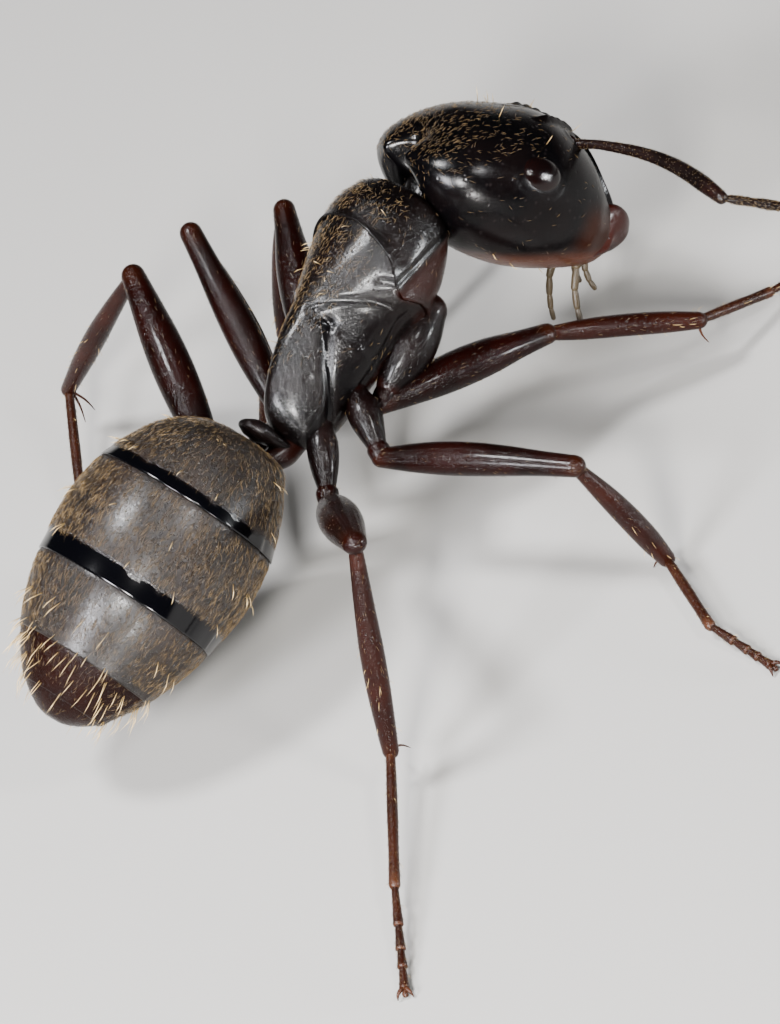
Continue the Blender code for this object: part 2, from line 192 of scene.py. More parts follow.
# ---------------- surfaces: u round, v from end to end
def bodied(rows, put=np.asarray, mould=None, lobe=0.0):
    """Surface of a round body part: u from its left side over its back, v from its rear to its front."""
    low = rows[0][0]

    def surface(u, v):
        x, wide, top, bottom = curve(rows, v * (len(rows) - 1)).T
        a = 2.0 * math.pi * u
        y, z = wide * np.cos(a), 0.5 * (top + bottom) + 0.5 * (top - bottom) * np.sin(a)
        back = lobe * np.maximum(0.0, 1.0 - (x - low) / 0.9) ** 1.5
        points = np.stack((x - back * (y / np.maximum(wide, 0.3)) ** 2, y, z), axis=1)
        if mould:
            points = points + mould(points, 0.5 * (top + bottom), a)
        return put(points)
    return surface


def limbed(path, radii, side=UP, flat=1.0, cap=0.12, blunt=1.0, ripple=None):
    """Surface of a limb on a smooth path, with a half thickness at each place and rounded ends."""
    path, radii = np.asarray(path, float), np.asarray(radii, float)[:, None]
    last = len(path) - 1

    def surface(u, v):
        inner = np.clip((v - cap) / (1.0 - 2.0 * cap), 0.0, 1.0)
        q = inner * last
        centre, tangent = curve(path, q), unit(curve(path, q + 0.02) - curve(path, q - 0.02))
        radius = curve(radii, inner * (len(radii) - 1))[:, 0]
        past = np.maximum(0.0, np.maximum(1.0 - v / cap, (v - 1.0 + cap) / cap))
        swing = past * 0.5 * math.pi
        shift = np.where(v < cap, -1.0, 1.0) * np.sin(swing) * radius * blunt
        across = unit(side - tangent * (tangent @ side)[:, None])
        other = np.cross(tangent, across)
        radius = radius * np.cos(swing)
        if ripple is not None:
            radius = radius * ripple(u, inner)
        a = 2.0 * math.pi * u
        return (centre + tangent * shift[:, None] + across * (radius * flat * np.cos(a))[:, None]
                + other * (radius * np.sin(a))[:, None])
    return surface


def unmarked(points):
    return np.zeros(len(points))


def skin(surface, around, along, mark=None):
    """A sphere's mesh reshaped onto a surface, its "mark" from mark(points) or from end to end."""
    bm = bmesh.new()
    bmesh.ops.create_uvsphere(bm, u_segments=around, v_segments=along, radius=1.0)
    ball = np.array([v.co for v in bm.verts])
    u = np.arctan2(ball[:, 1], ball[:, 0]) / (2.0 * math.pi) % 1.0
    v = np.arccos(np.clip(-ball[:, 2], -1.0, 1.0)) / math.pi
    points = surface(u, v)
    marks = v if mark is None else mark(points)
    layer = bm.verts.layers.float.new("mark")
    for vert, point, value in zip(bm.verts, points, marks):
        vert.co = point
        vert[layer] = value
    return bm


RIM_ROLL = ((0.018, -0.012), (0.022, 0.02), (0.10, 0.03))      # inwards and back, ring by ring
BEND_REACH = 0.9


def cut_plate(bm, point, normal, flare=0.0, reach=0.20, bend=None):
    """Cut off what lies beyond a plane and roll the rim inwards.

    flare lifts the skin within reach of the rim, and bend(x, y, z) tells how far the rim swings
    along x.
    """
    point, normal = Vector(point), Vector(normal).normalized()
    bmesh.ops.bisect_plane(bm, geom=bm.verts[:] + bm.edges[:] + bm.faces[:], dist=1e-5,
                           plane_co=point, plane_no=normal, clear_outer=True)
    bm.normal_update()
    for vert in bm.verts:
        depth = (point - vert.co).dot(normal)
        if flare and depth < reach:
            vert.co += vert.normal * flare * (1.0 - depth / reach) ** 2
        if bend and depth < BEND_REACH:
            vert.co.x += bend(*vert.co) * (1.0 - depth / BEND_REACH) ** 2
    rim = [e for e in bm.edges if e.is_boundary]
    ring = {v for e in rim for v in e.verts}
    middle = sum((v.co for v in ring), Vector()) / len(ring)
    for inward, back in RIM_ROLL:
        pushed = bmesh.ops.extrude_edge_only(bm, edges=rim)["geom"]
        rim = [e for e in pushed if isinstance(e, bmesh.types.BMEdge) and e.is_boundary]
        for vert in {v for e in rim for v in e.verts}:
            vert.co += (middle - vert.co).normalized() * inward - normal * back
    bmesh.ops.holes_fill(bm, edges=rim, sides=0)


def placed(bm, put):
    """Carry a form from its body part's own axes to the floor's."""
    for vert, point in zip(bm.verts, put([v.co for v in bm.verts])):
        vert.co = point
    return bm


def joined(whole, *forms):
    """One mesh from several, each used up."""
    for form in forms:
        scrap = bpy.data.meshes.new("scrap")
        form.to_mesh(scrap)
        form.free()
        whole.from_mesh(scrap)
        bpy.data.meshes.remove(scrap)
    return whole


def finished(name, bm, finish, nodes=()):
    """Turn a form in millimetres into a piece of the ant."""
    bmesh.ops.transform(bm, matrix=Matrix.Scale(MM, 4), verts=bm.verts)
    bmesh.ops.recalc_face_normals(bm, faces=bm.faces)
    mesh = bpy.data.meshes.new(name)
    bm.to_mesh(mesh)
    bm.free()
    mesh.shade_smooth()
    added(name, mesh, finish, nodes)


def linked(name, data):
    """A new object in the scene."""
    made = bpy.data.objects.new(name, data)
    bpy.context.scene.collection.objects.link(made)
    return made


def added(name, mesh, finish, nodes=()):
    mesh.materials.append(finish)
    piece = linked(name, mesh)
    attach(piece, "root")
    if nodes:
        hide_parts(*nodes)


# ---------------- finishes
def group(name, inputs, outputs):
    """An empty node group with named sockets, what it is given, and its output node."""
    tree = bpy.data.node_groups.new(name, "ShaderNodeTree")
    for kinds, way in ((inputs, "INPUT"), (outputs, "OUTPUT")):
        for label, kind, *start in kinds:
            socket = tree.interface.new_socket(name=label, in_out=way, socket_type="NodeSocket" + kind)
            if start:
                socket.default_value = start[0]
    return tree, tree.nodes.new("NodeGroupInput").outputs, tree.nodes.new("NodeGroupOutput")


def feed(tree, made, inputs):
    """Give a node's inputs, by name or number, a value each or the socket that feeds them."""
    for key, value in inputs.items():
        if isinstance(value, bpy.types.NodeSocket):
            tree.links.new(value, made.inputs[key])
        else:
            made.inputs[key].default_value = value


def node(tree, kind, settings=None, **inputs):
    """A node with its settings, and its inputs given by name or as i and the number."""
    made = tree.nodes.new("ShaderNode" + kind)
    for key, value in (settings or {}).items():
        setattr(made, key, value)
    feed(tree, made, {int(key[1:]) if key[1:].isdigit() else key: inputs[key] for key in inputs})
    return made


def new_finish(name):
    """A material, its nodes and its main shader."""
    made = bpy.data.materials.new(name)
    made.use_nodes = True
    return made, made.node_tree, made.node_tree.nodes["Principled BSDF"]


def millimetres(tree):
    """The object's own coordinates in millimetres."""
    own = node(tree, "TexCoord").outputs["Object"]
    return node(tree, "Mapping", i0=own, Scale=(1.0 / MM,) * 3).outputs[0]


def noise(tree, at, scale, detail):
    return node(tree, "TexNoise", Vector=at, Scale=scale, Detail=detail).outputs[0]


def ramp(tree, value, low, high, out_low=0.0, out_high=1.0, kind="LINEAR"):
    return node(tree, "MapRange", {"interpolation_type": kind},
                i0=value, i1=low, i2=high, i3=out_low, i4=out_high).outputs[0]


def mixed(tree, factor, a, b):
    """Colour between a and b."""
    return node(tree, "Mix", {"data_type": "RGBA"}, i0=factor, i6=a, i7=b).outputs[2]


def blended(tree, factor, a, b):
    """Number between a and b."""
    return node(tree, "Mix", {"data_type": "FLOAT"}, i0=factor, i2=a, i3=b).outputs[0]


def marked(tree):
    """The mesh's own mark."""
    return node(tree, "Attribute", {"attribute_name": "mark"}).outputs["Fac"]


def sums(tree, operation, a, b=0.0):
    return node(tree, "Math", {"operation": operation}, i0=a, i1=b).outputs[0]


def rgb(*colour):
    """A colour from its linear red, green and blue in ten-thousandths."""
    return (*(part / 10000 for part in colour), 1.0)


def make_cuticle():
    """Shell: cloudy colour, hair pits and a fine net of scratches, both worn off by polish."""
    tree, given, out = group(
        "cuticle", [("Colour", "Color"), ("Cloud", "Color"), ("Gloss", "Float", 0.3),
                    ("Pits", "Float", 12.0), ("Net", "Float", 1.0), ("Polish", "Float", 0.0)],
        [("Colour", "Color"), ("Roughness", "Float"), ("Height", "Float")])

    def product(a, b):
        return sums(tree, "MULTIPLY", a, b)

    def total(a, b):
        return sums(tree, "ADD", a, b)

    at = millimetres(tree)
    cloud = noise(tree, at, 1.7, 4.0)
    grime = noise(tree, at, 14.0, 5.0)
    pits = node(tree, "TexVoronoi", Vector=at, Scale=given["Pits"]).outputs["Distance"]
    net = node(tree, "TexVoronoi", {"feature": "DISTANCE_TO_EDGE"}, Vector=at, Scale=58.0)
    unworn = ramp(tree, given["Polish"], 0.0, 1.0, 1.0, 0.0)
    pit = product(ramp(tree, pits, 0.10, 0.24, 1.0, 0.0), unworn)
    scratch = product(ramp(tree, net.outputs["Distance"], 0.0, 0.12, 1.0, 0.0), unworn)
    shade = mixed(tree, ramp(tree, cloud, 0.40, 0.66), given["Colour"], given["Cloud"])
    rough = total(given["Gloss"], product(ramp(tree, grime, 0.42, 0.72), 0.07))
    height = total(product(pit, -1.0), product(scratch, product(given["Net"], -0.16)))
    feed(tree, out, {"Colour": mixed(tree, product(pit, 0.7), shade, rgb(40, 30, 30)),
                     "Roughness": total(rough, product(scratch, 0.05)),
                     "Height": total(height, product(grime, product(unworn, 0.12)))})
    return tree


def make_ends():
    """Limb colour: one shade along the shaft and another at its joints, read from the mark."""
    tree, given, out = group(
        "joint_tint", [("Shaft", "Color"), ("Joint", "Color"), ("Spread", "Float", 0.12)],
        [("Colour", "Color")])
    off_middle = sums(tree, "ABSOLUTE", sums(tree, "SUBTRACT", marked(tree), 0.5))
    wander = noise(tree, millimetres(tree), 6.0, 3.0)
    near = sums(tree, "SUBTRACT", sums(tree, "SUBTRACT", 0.5, off_middle),
                sums(tree, "MULTIPLY", wander, 0.12))
    amount = ramp(tree, near, 0.0, given["Spread"], 1.0, 0.0, "SMOOTHSTEP")
    feed(tree, out, {"Colour": mixed(tree, amount, given["Shaft"], given["Joint"])})
    return tree


CUTICLE, JOINT_TINT = make_cuticle(), make_ends()
# painted shade: the smooth near-black colour and gloss given where a mark is -1, in grooves and hollows
# where shade falls
SHADE_BLACK, SHADE_GLOSS = rgb(5, 4, 5), 0.20
PIT_DEPTH = 0.012


def finish(name, gloss, shine, colour, cloud, pits=12.0, net=1.0, bump=0.5, joint=None, other=None,
           polish=False):
    """A shell finish.

    joint is the colour of limb ends, other is the colour and gloss where the mark is 1, and -1 is
    painted shade, a smooth black for grooves and hollows. Pits and net are worn away in the painted
    shade or, with polish, where the mark is 1.
    """
    made, tree, shader = new_finish(name)
    shell = node(tree, "Group", {"node_tree": CUTICLE}, Colour=rgb(*colour), Cloud=rgb(*cloud),
                 Gloss=gloss, Pits=pits, Net=net)
    base, rough = shell.outputs["Colour"], shell.outputs["Roughness"]
    if joint:
        tint = node(tree, "Group", {"node_tree": JOINT_TINT}, Shaft=rgb(*colour), Joint=rgb(*joint))
        feed(tree, shell, {"Colour": tint.outputs["Colour"]})
    if other:
        mark = marked(tree)
        # painted shade where the mark falls towards -1
        painted_shade = ramp(tree, mark, -1.0, 0.0, 1.0, 0.0)
        base = mixed(tree, painted_shade, mixed(tree, mark, base, rgb(*other[0])), SHADE_BLACK)
        rough = blended(tree, painted_shade, blended(tree, mark, rough, other[1]), SHADE_GLOSS)
        feed(tree, shell, {"Polish": mark if polish else painted_shade})
    relief = node(tree, "Bump", Strength=bump, Distance=PIT_DEPTH * MM, Height=shell.outputs["Height"])
    feed(tree, shader, {"Base Color": base, "Roughness": rough, "Normal": relief.outputs[0],
                        "Specular IOR Level": shine})
    return made


LIMB = {"pits": 14.0, "net": 0.8, "bump": 0.6}
BLACK_SHELL = finish("black_shell", 0.155, 0.13, (6, 4, 4), (16, 8, 7), other=((75, 12, 5), 0.26))
HEAD_SHELL = finish("head_shell", 0.16, 0.10, (5, 4, 5), (12, 7, 7), pits=9.0, net=0.5, bump=0.22,
                    other=((230, 56, 18), 0.28))
GASTER_SHELL = finish("gaster_shell", 0.27, 0.25, (18, 10, 7), (42, 22, 13), pits=16.0, net=1.6,
                      bump=0.7, polish=True, other=((3, 3, 5), 0.10))
TAIL_SHELL = finish("tail_shell", 0.24, 0.06, (24, 4, 2), (42, 8, 3), pits=16.0, net=1.4)
LEG_SHELL = finish("leg_shell", 0.11, 0.09, (14, 3, 2), (36, 5, 3), **LIMB, joint=(70, 16, 6))
SHIN_SHELL = finish("shin_shell", 0.16, 0.10, (46, 8, 4), (85, 16, 7), **LIMB, joint=(80, 18, 7))
COXA_SHELL = finish("coxa_shell", 0.13, 0.10, (7, 3, 3), (17, 5, 4), **LIMB, joint=(50, 10, 6))
FOOT_SHELL = finish("foot_shell", 0.26, 0.12, (60, 13, 5), (110, 27, 10), pits=20.0, joint=(240, 80, 34))
FEELER_SHELL = finish("feeler_shell", 0.18, 0.12, (12, 6, 5), (30, 14, 12), pits=20.0, bump=0.3,
                      joint=(60, 17, 12))
JAW_SHELL = finish("jaw_shell", 0.15, 0.13, (80, 10, 5), (125, 18, 9), pits=10.0, net=0.7,
                   other=((30, 8, 6), 0.22))
PALP_SHELL = finish("palp_shell", 0.36, 0.20, (140, 88, 34), (220, 148, 60), pits=26.0,
                    joint=(280, 190, 85))


def make_eye():
    """Compound eye: hexagonal facets over a nearly black depth."""
    made, tree, shader = new_finish("eye_lens")
    at = millimetres(tree)
    facet = node(tree, "TexVoronoi", {"feature": "DISTANCE_TO_EDGE"}, Vector=at, Scale=42.0,
                 Randomness=0.25)
    edge = ramp(tree, facet.outputs["Distance"], 0.0, 0.22)
    glow = noise(tree, at, 3.0, 2.0)
    deep = mixed(tree, ramp(tree, glow, 0.35, 0.7), rgb(12, 4, 4), rgb(34, 9, 7))
    relief = node(tree, "Bump", Strength=0.12, Distance=0.006 * MM, Height=edge)
    feed(tree, shader, {"Base Color": mixed(tree, edge, rgb(8, 4, 4), deep), "Normal": relief.outputs[0],
                        "Roughness": ramp(tree, edge, 0.0, 1.0, 0.16, 0.08), "Specular IOR Level": 0.22})
    return made


def hair_finish(name, root, tip):
    """Hair that pales from root to tip and varies in patches."""
    made, tree, shader = new_finish(name)
    patch = noise(tree, millimetres(tree), 5.0, 3.0)
    strand = mixed(tree, marked(tree), rgb(*root), rgb(*tip))
    dull = rgb(*(0.62 * part for part in root))
    feed(tree, shader, {"Base Color": mixed(tree, ramp(tree, patch, 0.42, 0.68, 0.0, 0.7), strand, dull),
                        "Roughness": ramp(tree, patch, 0.3, 0.7, 0.30, 0.42),
                        "Specular IOR Level": 0.2})
    return made


EYE_LENS = make_eye()
DOWN_HAIR = hair_finish("golden_down", (160, 85, 28), (1380, 910, 420))
BRISTLE = hair_finish("pale_bristle", (1800, 1150, 420), (4600, 3400, 1800))


# ---------------- trunk
SCUTUM_LINE = [(-0.26, 0.78), (-0.03, 0.66), (0.12, 0.52), (0.38, 0.19), (0.50, 0.02)]
COLLAR_LINE = [(0.62, 0.38), (0.85, 0.27), (1.06, 0.18), (1.49, -0.02), (1.80, -0.20)]
BELLY_LINE = [(-1.60, -0.50), (-0.90, -0.46), (-0.20, -0.40), (0.30, -0.26), (0.60, -0.22)]
REAR_LINE = [(-1.36, -0.40), (-1.14, -0.22), (-0.74, 0.14), (-0.40, 0.38), (-0.20, 0.48)]
SPIRACLES = ((-0.21, 0.47, 0.050, 0.055), (-0.98, 0.26, 0.030, 0.030))      # x, z, depth and width
TRUNK_GRID = (190, 170)


def line(x, z, places, width):
    """Nearness to a line drawn on the trunk's side, height above it, and whether the line runs there."""
    xs, zs = np.array(places).T
    slope = np.gradient(zs, xs)
    off = (z - np.interp(x, xs, zs)) / np.sqrt(1.0 + np.interp(x, xs, slope) ** 2)
    inside = step(x, xs[0] - 0.10, xs[0] + 0.08) * fall(x, xs[-1] - 0.10, xs[-1] + 0.08)
    return bell(off, width) * inside, off, inside


def trunk_mould(points, middle, a):
    """Narrow back, domed mesonotum, and the sutures drawn on the side of the trunk."""
    x, y, z = points.T
    flank = step(np.abs(y), 0.12, 0.30)
    up = np.maximum(0.0, np.sin(a))
    scutum, above, along = line(x, z, SCUTUM_LINE, 0.045)
    collar, over, flanked = line(x, z, COLLAR_LINE, 0.038)
    push = -0.032 * scutum - 0.030 * step(-above, 0.0, 0.22) * along - 0.030 * collar
    push -= 0.060 * step(-over, 0.0, 0.20) * flanked * step(x, 0.72, 1.0)
    push -= 0.025 * line(x, z, BELLY_LINE, 0.050)[0] + 0.050 * line(x, z, REAR_LINE, 0.065)[0]
    push += 0.050 * bell(np.hypot(x + 0.15, z + 0.10), 0.30)            # bulge of the mesopleuron
    for sx, sz, deep, wide in SPIRACLES:
        push -= deep * bell(np.hypot(x - sx, (z - sz) * 0.7), wide)
    push = push * flank + 0.030 * bell(x - 0.42, 0.42) * up ** 2        # dome of the mesonotum
    shift = outward(y, z - middle) * push[:, None]
    shift[:, 1] -= y * 0.40 * step(0.9 - x, 0.0, 1.8) * up ** 1.3
    return shift


def pronotum_edge(x, y, z):
    """How far the pronotum's rear edge swings from its straight cut, by height."""
    return np.interp(z, (-0.7, -0.3, 0.02, 0.20, 0.33, 0.45, 0.75, 0.92),
                     (0.0, -0.14, -0.36, -0.34, -0.26, -0.15, -0.07, 0.0))


def trunk_colour_and_shade(points):
    """Brown on the belly and below the pronotum's side (1), and painted shade, smooth black, in grooves,
    hollows and a spiracle pit (-1).
    """
    x, y, z = points.T
    flank = step(np.abs(y), 0.10, 0.26)
    scutum, above, along = line(x, z, SCUTUM_LINE, 0.045)
    collar, over, _ = line(x, z, COLLAR_LINE, 0.040)
    rear, behind, beside = line(x, z, REAR_LINE, 0.075)
    brown = 0.75 * fall(z, -0.70, -0.25)
    brown = np.maximum(brown, 0.8 * step(-over, 0.02, 0.14) * step(x, 0.70, 0.95))
    hollow = np.maximum(step(-above, 0.02, 0.20) * along,
                        step(-behind, 0.02, 0.22) * beside * step(-0.1 - x, 0.0, 0.2))
    pit = bell(np.hypot(x - SPIRACLES[0][0], (z - SPIRACLES[0][1]) * 0.7), 0.08)
    # painted shade: sutures, hollows and the front spiracle darkened to smooth black where shade falls
    groove_shade = flank * np.maximum.reduce([0.8 * scutum, 0.7 * collar, 0.95 * rear, pit,
                                      0.45 * hollow * (1.0 - brown)])
    return brown * (1.0 - groove_shade) - groove_shade


def other_side(cut):
    return cut[0], tuple(-c for c in cut[1])


trunk_surface = bodied(TRUNK, mould=trunk_mould)
for name, cuts in (
        ("pronotum", [(other_side(PRONOTUM_CUT), {"bend": pronotum_edge, "flare": 0.05, "reach": 0.18})]),
        ("mesothorax", [(PRONOTUM_CUT, {"bend": pronotum_edge}), (other_side(PROPODEUM_CUT), {})]),
        ("propodeum", [(PROPODEUM_CUT, {})])):
    form = skin(trunk_surface, *TRUNK_GRID, trunk_colour_and_shade)
    for cut, rim in cuts:
        cut_plate(form, *cut, **rim)
    finished(name + "_plate", placed(form, on_trunk), BLACK_SHELL, [name])

# ---------------- neck
neck_path = [*on_trunk([(1.45, 0.0, -0.16), (1.86, 0.0, -0.14)]),
             *on_head([(-0.98, 0.0, -0.30), (-0.72, 0.0, -0.32)])]
neck = limbed(neck_path, (0.42, 0.36, 0.34, 0.36), side=TRUNK_AXES[:, 1],
              ripple=lambda u, s: 1.0 - 0.10 * bell(s - 0.5, 0.08))
finished("neck_collar", skin(neck, 48, 32, unmarked), BLACK_SHELL, ["neck"])


# ---------------- head
def head_mould(points, middle, a):
    """Raised clypeus with a keel, frontal ridges, sockets, eye seats, throat line and flat cheeks."""
    x, y, z = points.T
    w = np.abs(y)
    half = 0.34 + 0.30 * step(x, 0.72, 1.30)
    shield = step(x, 0.70, 0.80) * fall(w, half - 0.05, half + 0.03)
    rim = bell(w - half - 0.03, 0.030) * step(x, 0.74, 0.86)
    rim += bell(x - 0.72, 0.030) * fall(w, half, half + 0.1)
    keel = bell(y, 0.055) * step(x, 0.80, 0.95)
    ridge = bell(w - 0.22 - 0.24 * step(0.66 - x, 0.0, 0.75), 0.045)
    ridge *= step(x, -0.12, 0.12) * fall(x, 0.62, 0.78)
    socket = np.sqrt((x - SOCKET[0]) ** 2 + (w - SOCKET[1]) ** 2 + (z - SOCKET[2]) ** 2)
    parting = bell(y, 0.022) * step(x, -0.55, -0.25) * fall(x, 0.45, 0.65)
    push = (0.050 * shield - 0.026 * rim + 0.030 * keel + 0.070 * ridge - 0.075 * bell(socket, 0.11)
            + 0.020 * bell(socket - 0.17, 0.035) - 0.014 * parting) * step(z - middle, 0.0, 0.25)
    seat = np.hypot((x - EYE_AT[0]) / 0.38, (z - EYE_AT[2]) / 0.29)
    push -= 0.008 * bell(seat - 0.98, 0.05) * step(w, 0.7, 0.9)
    push -= 0.030 * bell(y, 0.035) * fall(z - middle, -0.3, 0.0)
    cheek = step(x, 1.05, 1.35) * fall(np.abs(z - middle), 0.10, 0.50)
    push -= 0.05 * cheek * step(w, 0.3, 0.5)
    shift = outward(y, z - middle) * push[:, None]
    nape = fall(x, -1.5, -0.6) * bell(y, 0.42) * step(z, -0.1, 0.35)
    shift[:, 0] -= 0.20 * nape
    return shift


def throat_colour_and_nape_shade(points):
    """Brown throat and lower face (up to 1), fading into the black of the head, and painted shade on the
    nape (-1).
    """
    x, y, z = points.T
    throat = fall(z - 0.30 * x, -0.96, -0.70) * step(x, -1.05, -0.3)
    face = 0.30 * step(x, 0.66, 1.05) * fall(z, -0.05, 0.30)
    # painted shade: the nape hollow behind the head's rear lobes is made smooth black
    nape = fall(x, -1.20, -0.95) * fall(np.abs(y), 0.50, 0.85) * fall(z, 0.15, 0.45)
    return np.maximum(throat, face) - nape


head_local = bodied(HEAD, mould=head_mould, lobe=HEAD_LOBE)
finished("head_capsule", placed(skin(head_local, 160, 150, throat_colour_and_nape_shade), on_head), HEAD_SHELL,
         ["head"])

for name, side in SIDES:
    ball = bmesh.new()
    bmesh.ops.create_uvsphere(ball, u_segments=56, v_segments=40, radius=1.0)
    seat = (Matrix.Translation((EYE_AT[0], EYE_AT[1] * side, EYE_AT[2]))
            @ Matrix.Rotation(math.radians(EYE_TILT * side), 4, "X")
            @ Matrix.Rotation(math.radians(EYE_PITCH), 4, "Y")
            @ Matrix.Diagonal((*EYE_DRAWN, 1.0)))
    bmesh.ops.transform(ball, matrix=seat, verts=ball.verts)
    finished("eye_ball_" + name, placed(ball, on_head), EYE_LENS, ["eye_" + name])

    # jaw: a bowed blade, deep at its root, with teeth on its inner edge
    path = on_head([(px, py * side, pz) for px, py, pz in JAW_BLADE])
    jaw = limbed(path, JAW_RADII, side=HEAD_AXES[:, 1], flat=0.42, cap=0.14, blunt=0.6)
    jaw = skin(jaw, 48, 44, unmarked)
    for k in range(TEETH):
        tooth = bmesh.new()
        bmesh.ops.create_cone(tooth, cap_ends=True, segments=14, radius1=0.062, radius2=0.006, depth=0.20)
        bmesh.ops.subdivide_edges(tooth, edges=tooth.edges[:], cuts=1, use_grid_fill=True)
        seat = facing((1.84 - 0.075 * k, side * (0.07 + 0.030 * k), -0.44 - 0.052 * k),
                      (0.35 - 0.12 * k, -0.75 * side, -0.72))
        bmesh.ops.transform(tooth, matrix=seat, verts=tooth.verts)
        mark = tooth.verts.layers.float.new("mark")
        for vert in tooth.verts:
            vert[mark] = 1.0
        jaw = joined(jaw, placed(tooth, on_head))
    finished("jaw_" + name, jaw, JAW_SHELL, ["mandible_" + name])

    parts = []
    for root, lengths, slopes, thick in PALPS:
        at = np.array((root[0], root[1] * side, root[2]))
        for k, (length, slope) in enumerate(zip(lengths, slopes)):
            dip = math.radians(slope)
            to = at + unit((math.cos(dip), 0.16 * side, math.sin(dip))) * length
            r = thick * (1.0 - 0.10 * k)
            palp = limbed(on_head([at, 0.5 * (at + to), to]), (0.70 * r, r, 0.92 * r), cap=0.15)
            parts.append(skin(palp, 14, 16))
            at = to
    finished("palps_" + name, joined(*parts), PALP_SHELL, ["palp_" + name])

lip = limbed(on_head([(1.46, 0.0, -0.06), (1.62, 0.0, -0.24), (1.66, 0.0, -0.44)]), (0.26, 0.30, 0.20),
             side=HEAD_AXES[:, 1], blunt=0.5,
             ripple=lambda u, s: 0.30 + 0.70 * np.cos(2 * math.pi * u) ** 2)
finished("upper_lip", skin(lip, 32, 24, unmarked), JAW_SHELL)


# ---------------- feelers
feeler_surfaces = []


def bowed(start, end, count, rise):
    """Places from start to end, bowed by the rise in the middle."""
    return [start + (end - start) * k / count + rise * math.sin(math.pi * k / count)
            for k in range(count + 1)]


for name, side in SIDES:
    root = on_head((SOCKET[0], SOCKET[1] * side, SOCKET[2]))
    elbow = root + heading(SCAPE_WAY[name]) * SCAPE_LENGTH
    crown = unit(HEAD_AXES @ np.array((0.55, 0.0, 1.0)))
    bow = bowed(root, elbow, len(SCAPE_RADII) - 1, crown * SCAPE_BOW)
    bow[0] -= 0.05 * crown
    scape = limbed(bow, SCAPE_RADII, cap=0.05)
    condyle = bmesh.new()
    condyle.verts.layers.float.new("mark")
    bmesh.ops.create_icosphere(condyle, subdivisions=3, radius=0.095)
    bmesh.ops.translate(condyle, vec=Vector(root), verts=condyle.verts)
    finished("scape_shaft_" + name, joined(skin(scape, 24, 90), condyle), FEELER_SHELL,
             ["scape_" + name])

    # whip: a long first bead and ten even ones, bowed up a little in the middle
    way = heading(WHIP_WAY[name])
    rest = (WHIP_LENGTH - FIRST_BEAD) * np.arange(1, WHIP_BEADS) / (WHIP_BEADS - 1.0)
    joints = np.concatenate(([0.0, FIRST_BEAD], FIRST_BEAD + rest))
    rise = np.cross(np.cross(way, UP), way)
    spots = [elbow + way * joint + rise * WHIP_BOW * math.sin(math.pi * joint / WHIP_LENGTH)
             for joint in joints]
    beads = []
    for k, (start, end) in enumerate(zip(spots, spots[1:])):
        thin, thick = (0.036, 0.062) if k == 0 else (0.056, 0.070 + 0.004 * math.sin(0.3 * k))
        tip = k == WHIP_BEADS - 1
        bead = limbed([start, 0.5 * (start + end), end], (thin, thick, 0.048 if tip else thick * 0.93),
                      cap=0.10, blunt=1.4 if tip else 0.5)
        feeler_surfaces.append((bead, way))
        beads.append(skin(bead, 20, 22))
    finished("whip_" + name, joined(*beads), FEELER_SHELL, ["funiculus_" + name])
    feeler_surfaces.append((scape, elbow - root))

# ---------------- waist
STALK = (-1.44, -0.34), (-1.66, -0.34), (-1.88, -0.26), (-2.10, -0.14)
SCALE = (-1.80, -0.24), (-1.83, -0.04), (-1.86, 0.16), (-1.88, 0.34), (-1.90, 0.46)
STALK_RADII, SCALE_RADII = (0.20, 0.17, 0.20, 0.15), (0.17, 0.20, 0.25, 0.26, 0.17)
stalk = limbed([on_trunk((x, 0.0, z)) for x, z in STALK], STALK_RADII, side=TRUNK_AXES[:, 1])
scale = limbed([on_trunk((x, 0.0, z)) for x, z in SCALE], SCALE_RADII, side=TRUNK_AXES[:, 0], flat=0.50,
               blunt=0.40)
waist = joined(skin(stalk, 40, 24, lambda p: 0.5 + unmarked(p)), skin(scale, 56, 40, unmarked))
finished("waist_scale", waist, BLACK_SHELL, ["petiole"])


# ---------------- gaster
def gaster_mould(points, middle, a):
    """Belly plates set in under the back plates' side edges."""
    x, y, z = points.T
    rise = np.arcsin(np.sin(a))
    hem = -0.55 + 0.10 * np.sin(1.6 * x)
    push = -0.045 * fall(rise, hem - 0.05, hem) + 0.012 * bell(rise - hem - 0.05, 0.05)
    return outward(y, z - middle) * (push * step(2.1 - np.abs(x), 0.0, 0.3))[:, None]


def band_mark(edge):
    """1 on the bare band behind a wandering edge."""
    def mark(points):
        x, y, z = points.T
        wander = 0.012 * np.sin(9.0 * y) + 0.010 * np.sin(17.0 * z)
        return fall(x + wander, edge - 0.012, edge + 0.012)
    return mark


gaster_local = bodied(GASTER, mould=gaster_mould)
for k, band in enumerate(BANDS):
    front, rear = GASTER_CUTS[k], GASTER_CUTS[k + 1]
    form = skin(gaster_local, 144, 150, band_mark(rear + band))
    if k > 0:
        cut_plate(form, (front + 0.05, 0.0, 0.0), (1.0, 0.0, 0.0), flare=-0.030, reach=0.12)
    if k < len(BANDS) - 1:
        cut_plate(form, (rear, 0.0, 0.0), (-1.0, 0.0, 0.0), flare=0.022, reach=0.30)
    finished("gaster_plate_%d" % (k + 1), placed(form, on_gaster), GASTER_SHELL if k < 3 else TAIL_SHELL,
             ["gaster_%d" % (k + 1)])


# ---------------- legs
BELOW_TRUNK = (-0.6, 0.0, -3.0)     # the spurs point to it
leg_surfaces = []


def shaft(start, end, radii, flat=1.0, bend=0.0, **more):
    """Surface of a leg piece between two joints, bowed upwards, and noted for its hairs."""
    way = unit(end - start)
    lift = unit(UP - way * (way @ UP))
    surface = limbed(bowed(start, end, len(radii) - 1, lift * bend), radii, side=lift, flat=flat, **more)
    leg_surfaces.append((surface, end - start))
    return surface


